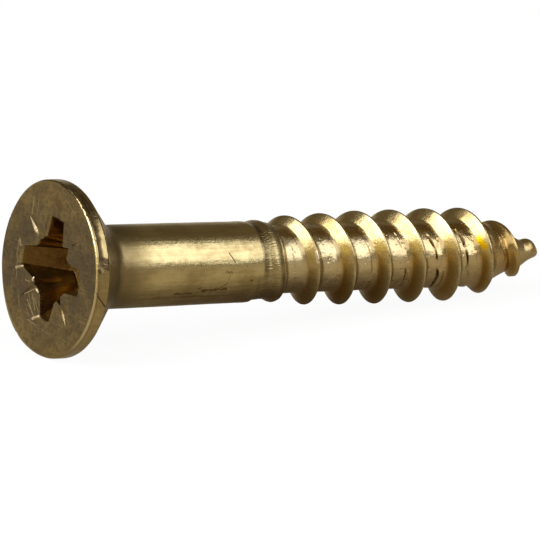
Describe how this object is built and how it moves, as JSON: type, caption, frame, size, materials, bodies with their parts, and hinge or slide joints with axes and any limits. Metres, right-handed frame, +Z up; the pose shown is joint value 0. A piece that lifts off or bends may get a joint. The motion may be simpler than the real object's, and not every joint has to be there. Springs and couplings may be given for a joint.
{
  "type": "countersunk wood screw",
  "caption": "Brass countersunk wood screw with a type Z cross recess, a plain shank, a coarse right-hand thread and a blunt gimlet tip.",
  "frame": {"origin": "on the ground plane, below the middle of the lying screw's bounding box", "axes": "+X towards the tip along the lying screw, which leans down 5.1 degrees from head to tip; +Z up; head at -X"},
  "size_m": [0.0252, 0.0074, 0.0075],
  "materials": {
    "brass": "dull, lightly tarnished rolled brass with fine scratches"
  },
  "bodies": {
    "root": {"wood_screw": "brass"}
  },
  "joints": []
}
